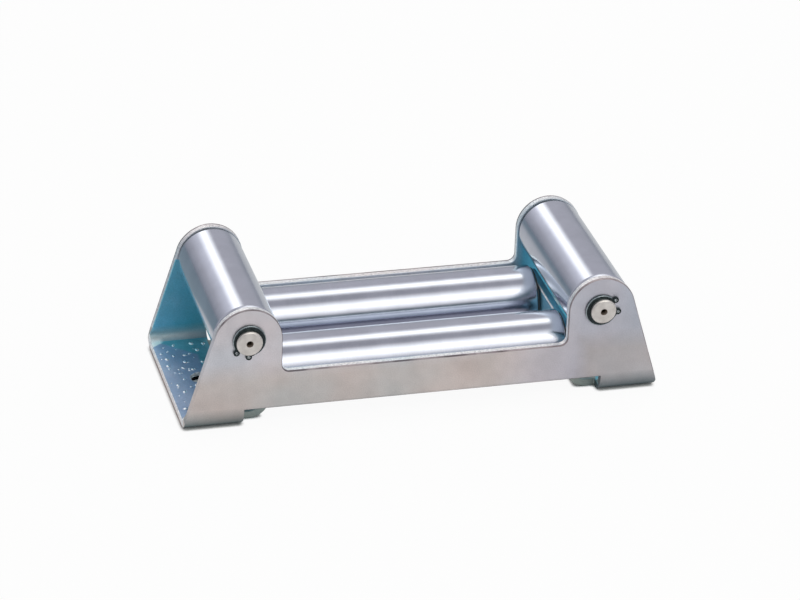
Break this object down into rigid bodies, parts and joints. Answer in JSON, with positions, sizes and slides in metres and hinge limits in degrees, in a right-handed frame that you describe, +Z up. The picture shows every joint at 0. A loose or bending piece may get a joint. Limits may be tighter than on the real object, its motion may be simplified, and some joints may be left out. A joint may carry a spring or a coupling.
{
  "type": "roller fairlead",
  "caption": "Roller fairlead: a folded zinc-plated steel frame carries crossed rollers on circlip-held axles and bolts down to guide a winch or mooring rope.",
  "frame": {"origin": "middle of the mounting plane under the two feet", "axes": "+X along the long rollers, +Y along the short rollers away from the pictured side, +Z up from the mounting plane"},
  "size_m": [0.3, 0.128, 0.081],
  "materials": {
    "zinc_plate": "zinc plated plate, satin",
    "zinc_roller": "bright zinc plated, fine turned satin",
    "axle_steel": "turned steel",
    "bush_nylon": "dark moulded nylon",
    "circlip_black": "black phosphated spring steel"
  },
  "bodies": {
    "frame_body": {"frame": "zinc_plate", "axle_left": "axle_steel", "axle_right": "axle_steel", "axle_front": "axle_steel", "axle_rear": "axle_steel", "circlip_left_front": "circlip_black", "circlip_left_rear": "circlip_black", "circlip_right_front": "circlip_black", "circlip_right_rear": "circlip_black", "circlip_front_left": "circlip_black", "circlip_front_right": "circlip_black", "circlip_rear_left": "circlip_black", "circlip_rear_right": "circlip_black"},
    "left_roller": {"roller_left": "zinc_roller", "bush_left_front": "bush_nylon", "bush_left_rear": "bush_nylon"},
    "right_roller": {"roller_right": "zinc_roller", "bush_right_front": "bush_nylon", "bush_right_rear": "bush_nylon"},
    "front_roller": {"roller_front": "zinc_roller", "bush_front_left": "bush_nylon", "bush_front_right": "bush_nylon"},
    "rear_roller": {"roller_rear": "zinc_roller", "bush_rear_left": "bush_nylon", "bush_rear_right": "bush_nylon"}
  },
  "joints": [
    {"name": "left_roller_spin", "type": "hinge", "parent": "frame_body", "child": "left_roller", "pos_m": [-0.111, 0, 0.06], "axis": [0, 1, 0], "continuous": true},
    {"name": "right_roller_spin", "type": "hinge", "parent": "frame_body", "child": "right_roller", "pos_m": [0.111, 0, 0.06], "axis": [0, 1, 0], "continuous": true},
    {"name": "front_roller_spin", "type": "hinge", "parent": "frame_body", "child": "front_roller", "pos_m": [0, -0.031, 0.0245], "axis": [1, 0, 0], "continuous": true},
    {"name": "rear_roller_spin", "type": "hinge", "parent": "frame_body", "child": "rear_roller", "pos_m": [0, 0.031, 0.0245], "axis": [1, 0, 0], "continuous": true}
  ]
}
